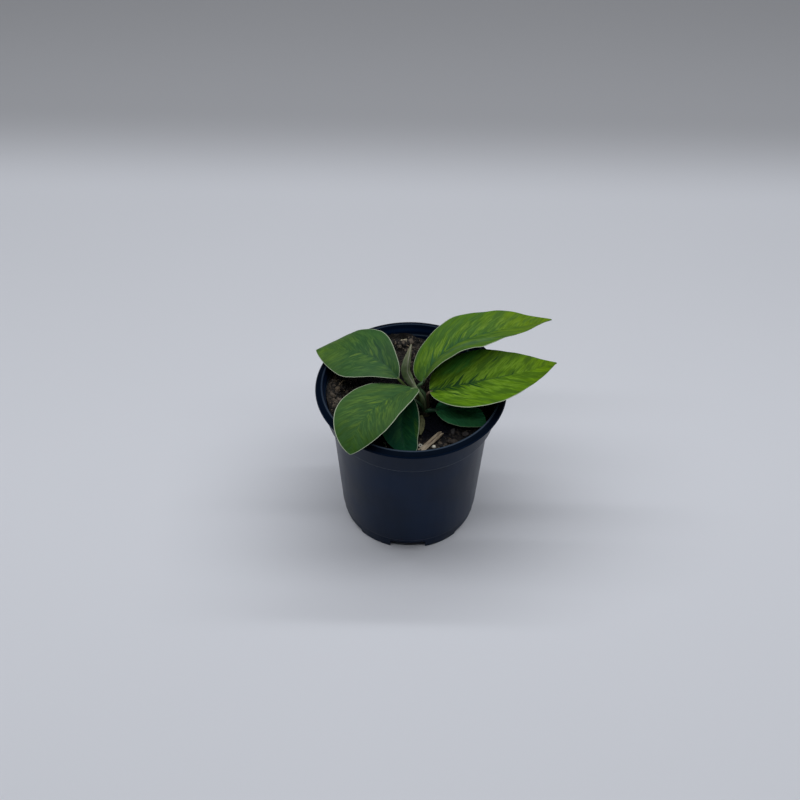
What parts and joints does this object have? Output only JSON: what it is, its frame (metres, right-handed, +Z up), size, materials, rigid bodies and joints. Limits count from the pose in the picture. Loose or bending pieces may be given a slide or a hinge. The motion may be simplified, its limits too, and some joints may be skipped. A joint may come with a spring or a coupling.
{
  "type": "potted homalomena plant",
  "caption": "Small aroid house plant with pointed, streaked green leaves on short stalks, in a black tapered nursery pot filled with peaty soil.",
  "frame": {"origin": "middle of the pot's base, on the surface that it stands on", "axes": "+Z up out of the pot, +X towards the side that the two long leaves reach to, -Y towards the front, where the low front leaf lies"},
  "size_m": [0.1511, 0.1228, 0.1425],
  "materials": {
    "pot_plastic": "near-black moulded plastic with a cool satin sheen",
    "soil": "dark crumbly peat mix, dull",
    "stem": "olive and brown sheathed crown, dull",
    "leaf": "green with feathered dark streaks, yellow-cream blotches and a thin pale margin, satin",
    "new_leaf": "olive grey-green rolled leaf with pale edges, satin",
    "chip_wood": "raw pale splinter with grain",
    "dry_leaf": "papery tan, dull",
    "bark": "rough brown bark crumb",
    "prill": "off-white to tan grain, dull"
  },
  "bodies": {
    "root": {"pot": "pot_plastic", "soil": "soil", "crown": "stem", "leaf_left_rear": "leaf", "leaf_left_front": "leaf", "leaf_right_rear": "leaf", "leaf_right": "leaf", "leaf_front_low": "leaf", "leaf_right_low": "leaf", "new_leaf": "new_leaf", "dry_sheath": "dry_leaf", "wood_chip": "chip_wood", "dry_flake": "dry_leaf", "prill_ring": "prill", "prill_white": "prill", "prill_tan": "prill", "grit_front_1": "prill", "grit_front_2": "prill", "bark_left": "bark", "bark_right": "bark", "bark_edge": "bark", "bark_front": "bark", "bark_rear": "bark"}
  },
  "joints": []
}
